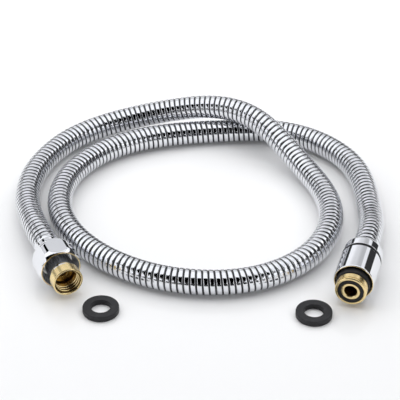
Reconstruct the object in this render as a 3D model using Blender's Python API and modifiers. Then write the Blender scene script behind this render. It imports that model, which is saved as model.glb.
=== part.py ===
"""Flexible metal shower hose lying in a turn and two thirds, with its end fittings.

The nut end has a hexagonal shell that swivels on the hose tail and carries a threaded
brass ring. The connector end has a chrome sleeve that swivels on a spindle and carries
a brass connector. The hose's two loose sealing washers lie in front of it.

Lengths are in metres. +Z is up, and the hose lies on the plane z = 0. The origin is
under the middle of the whole part. In each fitting's own frame, Z is the fitting's
axis and points away from the hose, Y is up, and z = 0 is the end of the hose.
"""

import math

import bmesh
import bpy
import numpy as np
from mathutils import Matrix

# Clearances
SEAT_GAP = 0.0003
RUN_GAP = 0.0003

# Hose
HOSE_DIAMETER = 0.0140
HOSE_POINT_SPACING = 0.0130
HOSE_STRAIGHT_END = 0.0060
HOSE_BEVEL_RESOLUTION = 4
LINER_DIAMETER = 0.0100
LINER_BORE = 0.0070

# The route between the fittings, chosen by hand: x, y and the height of the centreline.
# The hose runs from the nut end round the back, climbs over its own other turn, comes
# down at the right, and passes the front and the back again to the connector end.
HOSE_ROUTE = [
    (-0.0931, -0.0121, 0.0088),
    (-0.0970, 0.0077, 0.0072),
    (-0.0961, 0.0314, 0.0071),
    (-0.0890, 0.0531, 0.0071),
    (-0.0773, 0.0711, 0.0074),
    (-0.0590, 0.0845, 0.0089),
    (-0.0359, 0.0916, 0.0120),
    (-0.0111, 0.0924, 0.0167),
    (0.0126, 0.0874, 0.0209),
    (0.0338, 0.0758, 0.0203),
    (0.0489, 0.0602, 0.0144),
    (0.0614, 0.0409, 0.0088),
    (0.0710, 0.0197, 0.0071),
    (0.0752, -0.0054, 0.0075),
    (0.0706, -0.0299, 0.0077),
    (0.0554, -0.0526, 0.0074),
    (0.0305, -0.0675, 0.0071),
    (0.0011, -0.0707, 0.0071),
    (-0.0280, -0.0631, 0.0071),
    (-0.0528, -0.0463, 0.0071),
    (-0.0710, -0.0222, 0.0071),
    (-0.0785, 0.0054, 0.0071),
    (-0.0740, 0.0329, 0.0071),
    (-0.0578, 0.0571, 0.0071),
    (-0.0332, 0.0726, 0.0071),
    (-0.0075, 0.0794, 0.0071),
    (0.0179, 0.0825, 0.0071),
    (0.0408, 0.0827, 0.0071),
    (0.0623, 0.0761, 0.0071),
    (0.0798, 0.0620, 0.0071),
    (0.0915, 0.0429, 0.0071),
    (0.0965, 0.0193, 0.0071),
    (0.0973, -0.0045, 0.0074),
    (0.0970, -0.0147, 0.0084),
]

# Where the hose ends, and which way each fitting points: turned about +Z from -Y
NUT_END_XY = (-0.0821, -0.0423)
NUT_END_HEADING = math.radians(23.0)
CONNECTOR_END_XY = (0.0910, -0.0445)
CONNECTOR_END_HEADING = math.radians(-16.0)

# Nut end, from the hose outwards
FERRULE_DIAMETER = 0.0140
FERRULE_LENGTH = 0.0135
FERRULE_FRONT_WALL = 0.0012
STEM_START = 0.0015
STEM_BORE = 0.0044
BARB_PITCH = 0.0028
BARB_DEPTH = 0.0003
BARB_RAMP_SHARE = 0.25
SHAFT_DIAMETER = 0.0084
TAIL_HEAD_LENGTH = 0.0062

SHELL_START = 0.0070
SHELL_LENGTH = 0.0180
SHELL_ACROSS_FLATS = 0.0226
SHELL_CORNER_HEIGHT = 0.0010
SHELL_BACK_WALL = 0.0016
SHELL_BACK_LIP = 0.0009
SHELL_CHAMBER_CLEARANCE = 0.0010
SHELL_WEB_THICKNESS = 0.0026
SHELL_RIM_DIAMETER = 0.0218
SHELL_RIM_WALL = 0.0006
SHELL_FUNNEL_CLEARANCE = 0.0008
SHELL_FRONT_CURVE = 0.29 * SHELL_LENGTH
SHELL_FRONT_ROUNDNESS = 1.6
SHELL_DOME_LENGTH = 0.44 * SHELL_LENGTH

NECK_DIAMETER = 0.0148
NECK_WALL = 0.0005
NECK_REACH = 0.0055
NECK_FRONT = SHELL_START + SHELL_LENGTH + NECK_REACH
NECK_CLEARANCE = 0.0004
NECK_TAIL = 0.0010
NECK_LIP_THICKNESS = 0.0020
NECK_LIP_DEPTH = 0.0090
RING_DIAMETER = 0.0164
RING_BORE = 0.0142
RING_LENGTH = 0.0062
RING_SPIGOT_LENGTH = 0.0036
RING_SPIGOT_WALL = 0.0005
RING_SPIGOT_BORE = NECK_DIAMETER - 2 * (NECK_WALL + SEAT_GAP + RING_SPIGOT_WALL)
RING_EDGE = 0.0004
TAIL_HEAD_DIAMETER = RING_SPIGOT_BORE - 2 * RUN_GAP

# Connector end, from the hose outwards
SLEEVE_DIAMETER = 0.0218
COLLAR_LENGTH = 0.0110
COLLAR_BACK_LIP = 0.0003
COLLAR_BACK_DIAMETER = HOSE_DIAMETER + 2 * COLLAR_BACK_LIP
COLLAR_SHOULDER_LENGTH = 0.0062
COLLAR_SHOULDER_ROUNDNESS = 1.5
COLLAR_FRONT_WALL = 0.0012
COLLAR_STEP = 0.0002
SWIVEL_RING_THICKNESS = 0.0013
SWIVEL_RING_INSET = 0.0004
SLEEVE_LENGTH = 0.0196
SLEEVE_WALL = 0.0022
SLEEVE_BACK_WALL = 0.0025
SLEEVE_EDGE = 0.0004
SLEEVE_RIM_WALL = 0.0010
SLEEVE_RECESS_DEPTH = 0.0048
THRUST_WASHER_CLEARANCE = 0.0008
THRUST_WASHER_DIAMETER = SLEEVE_DIAMETER - 2 * (SLEEVE_WALL + THRUST_WASHER_CLEARANCE)
THRUST_WASHER_THICKNESS = 0.0012
SPINDLE_HEAD_DIAMETER = 0.0130
SPINDLE_HEAD_THICKNESS = 0.0020
SPINDLE_NOSE_DIAMETER = 0.0090
SPINDLE_NOSE_LENGTH = 0.0078
O_RING_GROOVE_OFFSET = 0.0028
O_RING_GROOVE_WIDTH = 0.0020
O_RING_GROOVE_DEPTH = 0.0016
CONNECTOR_DIAMETER = SLEEVE_DIAMETER - 2 * (SLEEVE_WALL + SEAT_GAP)
CONNECTOR_PROTRUSION = 0.0082
CONNECTOR_HEAD_LENGTH = 0.0048
CONNECTOR_SHANK_STEP = 0.0008
CONNECTOR_EDGE = 0.0004
CONNECTOR_STEP_OFFSET = 0.0013
CONNECTOR_STEP_WIDTH = 0.0005
CONNECTOR_STEP_DEPTH = 0.0003
FACE_RIM_WALL = 0.00125
FACE_GROOVE_WIDTH = 0.00225
FACE_LIP_WALL = 0.00155
FACE_GROOVE_OUTER = CONNECTOR_DIAMETER - 2 * FACE_RIM_WALL
FACE_GROOVE_INNER = FACE_GROOVE_OUTER - 2 * FACE_GROOVE_WIDTH
FACE_GROOVE_DEPTH = 0.0020
CONNECTOR_BORE = FACE_GROOVE_INNER - 2 * FACE_LIP_WALL
FACE_SEAL_INSET = 0.0001
RECESS_SEAL_WALL = 0.0011
RECESS_SEAL_FLANGE = 0.0016

# Loose washers
WASHER_DIAMETER = 0.0192
WASHER_BORE = 0.0104
WASHER_THICKNESS = 0.0033
WASHER_EDGE = 0.0004
WASHER_PLACES = {
    "loose_washer_left": (-0.0504, -0.0864),
    "loose_washer_right": (0.0607, -0.0901),
}

# Facets
ROUND_SEGMENTS = 40
INNER_SEGMENTS = 32
DOME_STEPS = 4
SHOULDER_STEPS = 6
O_RING_STEPS = 12
HEX_SIDES = 6
SHELL_TURN_SEGMENTS = 6 * HEX_SIDES
CURVE_STEPS = 24
MERGE_DISTANCE = 0.00001


def clear_scene():
    for item in list(bpy.data.objects):
        bpy.data.objects.remove(item, do_unlink=True)


def make_collection(name):
    collection = bpy.data.collections.new(name)
    bpy.context.scene.collection.children.link(collection)
    return collection


def make_material(name, colour, metallic, roughness):
    material = bpy.data.materials.new(name)
    material.use_nodes = True
    shader = material.node_tree.nodes["Principled BSDF"]
    shader.inputs["Base Color"].default_value = (*colour, 1.0)
    shader.inputs["Metallic"].default_value = metallic
    shader.inputs["Roughness"].default_value = roughness
    material.diffuse_color = (*colour, 1.0)
    return material


def chrome(name):
    return make_material(name, (0.78, 0.79, 0.81), 1.0, 0.08)


def brass(name):
    return make_material(name, (0.80, 0.62, 0.32), 1.0, 0.22)


def rubber(name):
    return make_material(name, (0.015, 0.015, 0.017), 0.0, 0.65)


def plastic(name, colour):
    return make_material(name, colour, 0.0, 0.45)


def make_frame(name, place, height, heading):
    """An empty whose Z axis is horizontal and points the way a fitting faces."""
    frame = bpy.data.objects.new(name, None)
    frame.location = (*place, height)
    frame.rotation_euler = (math.radians(90.0), 0.0, heading)
    PARTS.objects.link(frame)
    return frame


def frame_point(frame, distance):
    """The world point on a frame's axis, at a distance from the end of the hose."""
    turn = frame.rotation_euler.to_matrix()
    return np.array(frame.location) + distance * np.array(turn.col[2])


def turned(name, profile, material, parent=None, segments=ROUND_SEGMENTS):
    """Turn a closed outline of (radius, z) points, outer side top to bottom, about Z."""
    mesh = bpy.data.meshes.new(name)
    count = len(profile)
    points = [(radius, 0.0, z) for radius, z in profile]
    edges = [(i, (i + 1) % count) for i in range(count)]
    mesh.from_pydata(points, edges, [])
    piece = bpy.data.objects.new(name, mesh)
    PARTS.objects.link(piece)
    screw = piece.modifiers.new("turn", "SCREW")
    screw.axis = "Z"
    screw.angle = math.tau
    screw.steps = segments
    screw.render_steps = segments
    screw.use_merge_vertices = True
    screw.merge_threshold = MERGE_DISTANCE
    screw.use_smooth_shade = True
    piece.data.materials.append(material)
    piece.parent = parent
    return piece


def ring_profile(outer, inner, start, end, edge=0.0):
    """The section of a plain ring between two diameters, with chamfered edges."""
    outer, inner = outer / 2, inner / 2
    if edge == 0.0:
        return [(outer, end), (outer, start), (inner, start), (inner, end)]
    return [
        (outer - edge, end),
        (outer, end - edge),
        (outer, start + edge),
        (outer - edge, start),
        (inner + edge, start),
        (inner, start + edge),
        (inner, end - edge),
        (inner + edge, end),
    ]


def smooth_curve(points, start_direction, end_direction):
    """A curve without kinks through the points, as closely spaced places along it."""
    points = np.array(points)
    spans = np.linalg.norm(np.diff(points, axis=0), axis=1)
    count = len(points)
    matrix = np.eye(count)
    slopes = np.zeros((count, 3))
    slopes[0] = start_direction
    slopes[-1] = end_direction
    for i in range(1, count - 1):
        before, after = spans[i - 1], spans[i]
        matrix[i, i - 1:i + 2] = (1 / before, 2 / before + 2 / after, 1 / after)
        slopes[i] = 3 * (points[i] - points[i - 1]) / before ** 2
        slopes[i] += 3 * (points[i + 1] - points[i]) / after ** 2
    slopes = np.linalg.solve(matrix, slopes)
    t = np.linspace(0.0, 1.0, CURVE_STEPS, endpoint=False)[:, None]
    places = []
    for i in range(count - 1):
        places.append(
            (2 * t ** 3 - 3 * t ** 2 + 1) * points[i]
            + (t ** 3 - 2 * t ** 2 + t) * spans[i] * slopes[i]
            + (3 * t ** 2 - 2 * t ** 3) * points[i + 1]
            + (t ** 3 - t ** 2) * spans[i] * slopes[i + 1]
        )
    return np.vstack([*places, points[-1:]])


def evenly_spaced(places, spacing):
    distance = np.linalg.norm(np.diff(places, axis=0), axis=1)
    travelled = np.concatenate([[0.0], np.cumsum(distance)])
    count = int(round(travelled[-1] / spacing)) + 1
    wanted = np.linspace(0.0, travelled[-1], count)
    return np.stack([np.interp(wanted, travelled, places[:, i]) for i in range(3)], axis=1)


def hose_centreline(nut_frame, connector_frame):
    """The centreline from fitting to fitting, straight for a short way at each end."""
    start = frame_point(nut_frame, 0.0)
    start_lead = frame_point(nut_frame, -HOSE_STRAIGHT_END)
    end_lead = frame_point(connector_frame, -HOSE_STRAIGHT_END)
    end = frame_point(connector_frame, 0.0)
    start_direction = (start_lead - start) / HOSE_STRAIGHT_END
    end_direction = (end - end_lead) / HOSE_STRAIGHT_END
    route = [start_lead, *HOSE_ROUTE, end_lead]
    bend = evenly_spaced(smooth_curve(route, start_direction, end_direction), HOSE_POINT_SPACING)
    return np.vstack([start, bend, end])


def build_hose(nut_frame, connector_frame):
    centreline = hose_centreline(nut_frame, connector_frame)
    curve = bpy.data.curves.new("hose_tube", "CURVE")
    curve.dimensions = "3D"
    curve.bevel_depth = HOSE_DIAMETER / 2
    curve.bevel_resolution = HOSE_BEVEL_RESOLUTION
    curve.use_fill_caps = True
    spline = curve.splines.new("POLY")
    spline.points.add(len(centreline) - 1)
    for point, place in zip(spline.points, centreline):
        point.co = (*place, 1.0)
    curve.materials.append(chrome("hose_tube"))
    PARTS.objects.link(bpy.data.objects.new("hose_tube", curve))


def build_liner(name, end, frame):
    """The end of the rubber inner hose, where it is gripped on a fitting's stem."""
    profile = ring_profile(LINER_DIAMETER, LINER_BORE, SEAT_GAP, end)
    turned(name, profile, rubber(name), frame, INNER_SEGMENTS)


def barbed_stem(end):
    """The outline of a stem, from its shoulder back to its start, barb by barb."""
    crest = LINER_BORE / 2 - SEAT_GAP
    root = crest - BARB_DEPTH
    count = max(1, int((end - STEM_START) / BARB_PITCH))
    pitch = (end - STEM_START) / count
    outline = [(root, end)]
    for i in range(count):
        shoulder = end - i * pitch
        outline.append((crest, shoulder - BARB_RAMP_SHARE * pitch))
        outline.append((root, shoulder - pitch))
    return outline


def shaft_bore():
    return SHAFT_DIAMETER / 2 + RUN_GAP


def neck_lip_end():
    return NECK_FRONT - NECK_LIP_DEPTH


def build_ferrule(frame):
    """The crimped tube that holds the hose on its tail, closed in round the shaft."""
    outer = FERRULE_DIAMETER / 2
    inner = LINER_DIAMETER / 2 + SEAT_GAP
    end = SEAT_GAP + FERRULE_LENGTH
    profile = [
        (outer - RING_EDGE, end),
        (outer, end - RING_EDGE),
        (outer, SEAT_GAP),
        (inner, SEAT_GAP),
        (inner, end - FERRULE_FRONT_WALL),
        (SHAFT_DIAMETER / 2 + SEAT_GAP, end - FERRULE_FRONT_WALL),
        (SHAFT_DIAMETER / 2 + SEAT_GAP, end),
    ]
    turned("nut_end_ferrule", profile, chrome("nut_end_ferrule"), frame)
    return end


def build_tail(frame, stem_end):
    """The brass tail: barbed stem, shaft, and the head that ends the threaded mouth."""
    head_start = neck_lip_end() + RUN_GAP
    head_end = head_start + TAIL_HEAD_LENGTH
    shaft, head = SHAFT_DIAMETER / 2, TAIL_HEAD_DIAMETER / 2
    profile = [
        (head - RING_EDGE, head_end),
        (head, head_end - RING_EDGE),
        (head, head_start),
        (shaft, head_start),
        (shaft, stem_end),
        *barbed_stem(stem_end),
        (STEM_BORE / 2, STEM_START),
        (STEM_BORE / 2, head_end - RING_EDGE),
        (STEM_BORE / 2 + RING_EDGE, head_end),
    ]
    turned("nut_end_tail", profile, brass("nut_end_tail"), frame, INNER_SEGMENTS)


def shell_turned_outline():
    """The shell's turned shape, front to back: rim, front curve, corner width, dome."""
    end = SHELL_START + SHELL_LENGTH
    back = FERRULE_DIAMETER / 2 + RUN_GAP + SHELL_BACK_LIP
    rim = SHELL_RIM_DIAMETER / 2
    widest = SHELL_ACROSS_FLATS / 2 + SHELL_CORNER_HEIGHT
    outline = []
    for i in range(DOME_STEPS + 1):
        share = i / DOME_STEPS
        swell = math.sin(math.radians(90.0) * share) ** SHELL_FRONT_ROUNDNESS
        outline.append((rim + (widest - rim) * swell, end - SHELL_FRONT_CURVE * share))
    for i in range(DOME_STEPS + 1):
        share = 1 - i / DOME_STEPS
        swell = math.sin(math.radians(90.0) * share)
        outline.append((back + (widest - back) * swell, SHELL_START + SHELL_DOME_LENGTH * share))
    return outline


def build_hex_shell(frame, web_start):
    """A hexagonal bar turned to a dome and a rim, then hollowed from both ends."""
    half_side = math.pi / HEX_SIDES
    corner = SHELL_ACROSS_FLATS / 2 / math.cos(half_side)
    end = SHELL_START + SHELL_LENGTH
    bar_mesh = bmesh.new()
    bmesh.ops.create_cone(
        bar_mesh, cap_ends=True, segments=HEX_SIDES, radius1=corner, radius2=corner,
        depth=SHELL_LENGTH,
    )
    flat_down = Matrix.Rotation(half_side, 4, "Z")
    middle = Matrix.Translation((0.0, 0.0, SHELL_START + SHELL_LENGTH / 2))
    bmesh.ops.transform(bar_mesh, matrix=middle @ flat_down, verts=bar_mesh.verts)
    mesh = bpy.data.meshes.new("hex_shell")
    bar_mesh.to_mesh(mesh)
    bar_mesh.free()
    shell = bpy.data.objects.new("hex_shell", mesh)
    mesh.materials.append(chrome("hex_shell"))
    PARTS.objects.link(shell)
    shell.parent = frame

    envelope = [
        *shell_turned_outline(),
        (0.0, SHELL_START),
        (0.0, end),
    ]
    cut_with(shell, "shell_envelope", envelope, frame, "INTERSECT", SHELL_TURN_SEGMENTS)

    chamber = FERRULE_DIAMETER / 2 + RUN_GAP + SHELL_CHAMBER_CLEARANCE
    web_end = web_start + SHELL_WEB_THICKNESS
    web_bore = NECK_DIAMETER / 2 + SEAT_GAP
    ferrule_bore = FERRULE_DIAMETER / 2 + RUN_GAP
    beyond = SHELL_LENGTH
    rim_bore = SHELL_RIM_DIAMETER / 2 - SHELL_RIM_WALL
    slope = (rim_bore - web_bore - SHELL_FUNNEL_CLEARANCE) / (end - web_end)
    hollow = [
        (rim_bore + slope * SHELL_RIM_WALL, end + SHELL_RIM_WALL),
        (web_bore + SHELL_FUNNEL_CLEARANCE, web_end),
        (web_bore, web_end),
        (web_bore, web_start),
        (chamber, web_start),
        (chamber, SHELL_START + SHELL_BACK_WALL),
        (ferrule_bore, SHELL_START + SHELL_BACK_WALL),
        (ferrule_bore, SHELL_START - beyond),
        (0.0, SHELL_START - beyond),
        (0.0, end + SHELL_RIM_WALL),
    ]
    cut_with(shell, "shell_hollow", hollow, frame, "DIFFERENCE")


def cut_with(piece, name, profile, frame, operation, segments=ROUND_SEGMENTS):
    """Cut a piece with a turned solid whose outline starts and ends on the axis."""
    cutter = turned(name, profile, chrome(name), frame, segments)
    PARTS.objects.unlink(cutter)
    CUTTERS.objects.link(cutter)
    cutter.hide_render = True
    cutter.display_type = "WIRE"
    boolean = piece.modifiers.new(name, "BOOLEAN")
    boolean.operation = operation
    boolean.object = cutter
    boolean.solver = "EXACT"


def build_nut_neck(frame, start):
    """The chrome tube in the shell, with the inner lip that the tail's head holds."""
    outer = NECK_DIAMETER / 2
    inner = outer - NECK_WALL
    lip = shaft_bore()
    lip_end = neck_lip_end()
    profile = [
        (outer - RING_EDGE, NECK_FRONT),
        (outer, NECK_FRONT - RING_EDGE),
        (outer, start),
        (inner, start),
        (inner, lip_end - NECK_LIP_THICKNESS),
        (lip, lip_end - NECK_LIP_THICKNESS),
        (lip, lip_end),
        (inner, lip_end),
        (inner, NECK_FRONT),
    ]
    turned("nut_neck", profile, chrome("nut_neck"), frame)


def build_thread_ring(frame):
    """The brass ring that takes the thread, with a spigot that sits in the neck."""
    start = NECK_FRONT + SEAT_GAP
    end = start + RING_LENGTH
    outer, bore = RING_DIAMETER / 2, RING_BORE / 2
    spigot_bore = RING_SPIGOT_BORE / 2
    spigot = spigot_bore + RING_SPIGOT_WALL
    floor = start + RING_EDGE
    profile = [
        (outer - RING_EDGE, end),
        (outer, end - RING_EDGE),
        (outer, start + RING_EDGE),
        (outer - RING_EDGE, start),
        (spigot, start),
        (spigot, start - RING_SPIGOT_LENGTH),
        (spigot_bore, start - RING_SPIGOT_LENGTH),
        (spigot_bore, floor),
        (bore, floor),
        (bore, end - RING_EDGE),
        (bore + RING_EDGE / 2, end),
    ]
    turned("thread_ring", profile, brass("thread_ring"), frame)


def build_nut_end():
    height = SHELL_ACROSS_FLATS / 2
    fixed = make_frame("nut_end_frame", NUT_END_XY, height, NUT_END_HEADING)
    moving = make_frame("nut_swivel_axis", NUT_END_XY, height, NUT_END_HEADING)
    ferrule_end = build_ferrule(fixed)
    liner_end = ferrule_end - FERRULE_FRONT_WALL - SEAT_GAP
    build_liner("nut_end_liner", liner_end, fixed)
    build_tail(fixed, liner_end + SEAT_GAP)
    neck_start = ferrule_end + NECK_CLEARANCE
    build_hex_shell(moving, neck_start + NECK_TAIL)
    build_nut_neck(moving, neck_start)
    build_thread_ring(moving)
    return fixed


def build_collar(frame):
    """The chrome collar: a rounded shoulder from the hose up to the sleeve's width."""
    back = COLLAR_BACK_DIAMETER / 2
    front = SLEEVE_DIAMETER / 2 - COLLAR_STEP
    inner = LINER_DIAMETER / 2 + SEAT_GAP
    end = SEAT_GAP + COLLAR_LENGTH
    shaft = SHAFT_DIAMETER / 2 + SEAT_GAP
    profile = [(front - COLLAR_STEP, end), (front, end - COLLAR_STEP)]
    for i in range(SHOULDER_STEPS + 1):
        share = 1 - i / SHOULDER_STEPS
        blend = math.sin(math.radians(90.0) * share) ** COLLAR_SHOULDER_ROUNDNESS
        profile.append((back + (front - back) * blend, SEAT_GAP + COLLAR_SHOULDER_LENGTH * share))
    profile += [
        (inner, SEAT_GAP),
        (inner, end - COLLAR_FRONT_WALL),
        (shaft, end - COLLAR_FRONT_WALL),
        (shaft, end),
    ]
    turned("connector_end_collar", profile, chrome("connector_end_collar"), frame)
    return end


def build_sleeve(frame, start):
    """The chrome sleeve: a cup with a hole for the spindle and a wider front recess."""
    outer = SLEEVE_DIAMETER / 2
    end = start + SLEEVE_LENGTH
    bore = outer - SLEEVE_WALL
    recess = outer - SLEEVE_RIM_WALL
    profile = [
        (outer - SLEEVE_EDGE / 2, end),
        (outer, end - SLEEVE_EDGE),
        (outer, start + SLEEVE_EDGE),
        (outer - SLEEVE_EDGE, start),
        (shaft_bore(), start),
        (shaft_bore(), start + SLEEVE_BACK_WALL),
        (bore, start + SLEEVE_BACK_WALL),
        (bore, end - SLEEVE_RECESS_DEPTH),
        (recess, end - SLEEVE_RECESS_DEPTH),
        (recess, end),
    ]
    turned("sleeve", profile, chrome("sleeve"), frame)
    return end


def build_spindle(frame, stem_end, head_start):
    """The brass spindle: barbed stem, shaft, head, and a nose with a ring groove."""
    head_end = head_start + SPINDLE_HEAD_THICKNESS
    nose_end = head_end + SPINDLE_NOSE_LENGTH
    groove_start = head_end + O_RING_GROOVE_OFFSET
    groove_end = groove_start + O_RING_GROOVE_WIDTH
    shaft, head, nose = SHAFT_DIAMETER / 2, SPINDLE_HEAD_DIAMETER / 2, SPINDLE_NOSE_DIAMETER / 2
    groove = nose - O_RING_GROOVE_DEPTH
    profile = [
        (nose - RING_EDGE, nose_end),
        (nose, nose_end - RING_EDGE),
        (nose, groove_end),
        (groove, groove_end),
        (groove, groove_start),
        (nose, groove_start),
        (nose, head_end),
        (head, head_end),
        (head, head_start),
        (shaft, head_start),
        (shaft, stem_end),
        *barbed_stem(stem_end),
        (STEM_BORE / 2, STEM_START),
        (STEM_BORE / 2, nose_end),
    ]
    turned("swivel_spindle", profile, brass("swivel_spindle"), frame, INNER_SEGMENTS)
    build_o_ring(frame, groove, (groove_start + groove_end) / 2)
    return head_end, nose_end


def build_o_ring(frame, groove, middle):
    bore = SPINDLE_NOSE_DIAMETER / 2 + RUN_GAP
    half = (bore - groove) / 2 - SEAT_GAP
    centre = groove + SEAT_GAP + half
    profile = []
    for i in range(O_RING_STEPS):
        angle = -math.tau * i / O_RING_STEPS
        profile.append((centre + half * math.cos(angle), middle + half * math.sin(angle)))
    turned("spindle_o_ring", profile, rubber("spindle_o_ring"), frame, INNER_SEGMENTS)


def build_connector(frame, start, cavity_end, recess_floor, end):
    """The brass connector: a cavity for the spindle, a shank, and a head with a groove."""
    outer = CONNECTOR_DIAMETER / 2
    shank = outer - CONNECTOR_SHANK_STEP
    head_start = end - CONNECTOR_HEAD_LENGTH
    cavity = SPINDLE_NOSE_DIAMETER / 2 + RUN_GAP
    bore = CONNECTOR_BORE / 2
    groove_outer, groove_inner = FACE_GROOVE_OUTER / 2, FACE_GROOVE_INNER / 2
    groove_floor = end - FACE_GROOVE_DEPTH
    step_end = end - CONNECTOR_STEP_OFFSET
    step_start = step_end - CONNECTOR_STEP_WIDTH
    profile = [
        (groove_outer, end),
        (outer - CONNECTOR_EDGE, end),
        (outer, end - CONNECTOR_EDGE),
        (outer, step_end),
        (outer - CONNECTOR_STEP_DEPTH, step_end),
        (outer - CONNECTOR_STEP_DEPTH, step_start),
        (outer, step_start),
        (outer, head_start),
        (shank, head_start),
        (shank, recess_floor),
        (outer, recess_floor),
        (outer, start),
        (cavity, start),
        (cavity, cavity_end),
        (bore, cavity_end),
        (bore, end - CONNECTOR_EDGE),
        (bore + CONNECTOR_EDGE, end),
        (groove_inner, end),
        (groove_inner, groove_floor),
        (groove_outer, groove_floor),
    ]
    turned("quick_connector", profile, brass("quick_connector"), frame)
    build_ring(
        "face_seal", FACE_GROOVE_OUTER - 2 * SEAT_GAP, FACE_GROOVE_INNER + 2 * SEAT_GAP,
        groove_floor + SEAT_GAP, end - FACE_SEAL_INSET, rubber("face_seal"), frame,
    )
    build_recess_seal(frame, shank + SEAT_GAP, recess_floor + SEAT_GAP, head_start - SEAT_GAP)


def build_recess_seal(frame, inner, start, end):
    """The rubber seal on the connector's shank: a flange in the recess and a collar."""
    outer = inner + RECESS_SEAL_WALL
    flange = SLEEVE_DIAMETER / 2 - SLEEVE_RIM_WALL - SEAT_GAP
    flange_end = start + RECESS_SEAL_FLANGE
    profile = [
        (outer - RING_EDGE, end),
        (outer, end - RING_EDGE),
        (outer, flange_end),
        (flange, flange_end),
        (flange, start),
        (inner, start),
        (inner, end),
    ]
    turned("recess_seal", profile, rubber("recess_seal"), frame)


def build_ring(name, outer, inner, start, end, material, frame, edge=0.0):
    return turned(name, ring_profile(outer, inner, start, end, edge), material, frame)


def build_connector_end():
    height = SLEEVE_DIAMETER / 2
    fixed = make_frame("connector_end_frame", CONNECTOR_END_XY, height, CONNECTOR_END_HEADING)
    moving = make_frame("sleeve_swivel_axis", CONNECTOR_END_XY, height, CONNECTOR_END_HEADING)
    collar_end = build_collar(fixed)
    liner_end = collar_end - COLLAR_FRONT_WALL - SEAT_GAP
    build_liner("connector_end_liner", liner_end, fixed)

    ring_start = collar_end + SEAT_GAP
    ring_end = ring_start + SWIVEL_RING_THICKNESS
    build_ring(
        "swivel_ring", SLEEVE_DIAMETER - 2 * SWIVEL_RING_INSET, 2 * shaft_bore(),
        ring_start, ring_end, plastic("swivel_ring", (0.02, 0.02, 0.022)), fixed,
    )
    sleeve_start = ring_end + RUN_GAP
    sleeve_end = build_sleeve(moving, sleeve_start)

    thrust_start = sleeve_start + SLEEVE_BACK_WALL + RUN_GAP
    thrust_end = thrust_start + THRUST_WASHER_THICKNESS
    build_ring(
        "thrust_washer", THRUST_WASHER_DIAMETER, 2 * shaft_bore(), thrust_start, thrust_end,
        plastic("thrust_washer", (0.85, 0.85, 0.82)), fixed,
    )
    head_start = thrust_end + SEAT_GAP
    head_end, nose_end = build_spindle(fixed, liner_end + SEAT_GAP, head_start)
    build_connector(
        moving, head_end + RUN_GAP, nose_end + RUN_GAP, sleeve_end - SLEEVE_RECESS_DEPTH,
        sleeve_end + CONNECTOR_PROTRUSION,
    )
    return fixed


def build_washers():
    """The two flat sealing washers that come with the hose, lying on the surface."""
    for name, place in WASHER_PLACES.items():
        washer = turned(
            name, ring_profile(WASHER_DIAMETER, WASHER_BORE, 0.0, WASHER_THICKNESS, WASHER_EDGE),
            rubber(name),
        )
        washer.location = (*place, 0.0)


def build_part():
    nut_frame = build_nut_end()
    connector_frame = build_connector_end()
    build_hose(nut_frame, connector_frame)
    build_washers()


clear_scene()
PARTS = make_collection("shower_hose")
CUTTERS = make_collection("cutters")
build_part()
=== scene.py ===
"""Looks of a flexible metal shower hose with its end fittings and two loose washers.

Lengths are in metres. Each fitting is modelled upright, with Z along its axis and
z = 0 at the end of the hose, and is then laid in its place.
"""

import math

import bpy
import numpy as np
from mathutils import Matrix, Vector


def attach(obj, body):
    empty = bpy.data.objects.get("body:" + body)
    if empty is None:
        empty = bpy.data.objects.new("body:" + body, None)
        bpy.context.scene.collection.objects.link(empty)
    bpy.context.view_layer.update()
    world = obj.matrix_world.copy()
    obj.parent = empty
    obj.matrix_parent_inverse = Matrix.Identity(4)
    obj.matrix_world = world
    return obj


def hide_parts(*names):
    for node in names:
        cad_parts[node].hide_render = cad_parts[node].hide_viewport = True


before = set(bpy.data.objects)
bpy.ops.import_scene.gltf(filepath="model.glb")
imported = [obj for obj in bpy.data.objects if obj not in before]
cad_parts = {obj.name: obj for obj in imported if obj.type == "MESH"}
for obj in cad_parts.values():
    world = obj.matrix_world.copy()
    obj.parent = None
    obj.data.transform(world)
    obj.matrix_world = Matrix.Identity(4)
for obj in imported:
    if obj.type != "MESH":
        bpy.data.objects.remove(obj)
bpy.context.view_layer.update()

MM = 0.001

# The camera stands where the photograph was taken from
CAMERA_PLACE = (0.0014, -0.7195, 0.4980)
CAMERA_PITCH = math.radians(34.05)
CAMERA_LENS = 138.24
SENSOR_WIDTH = 36.0

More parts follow.
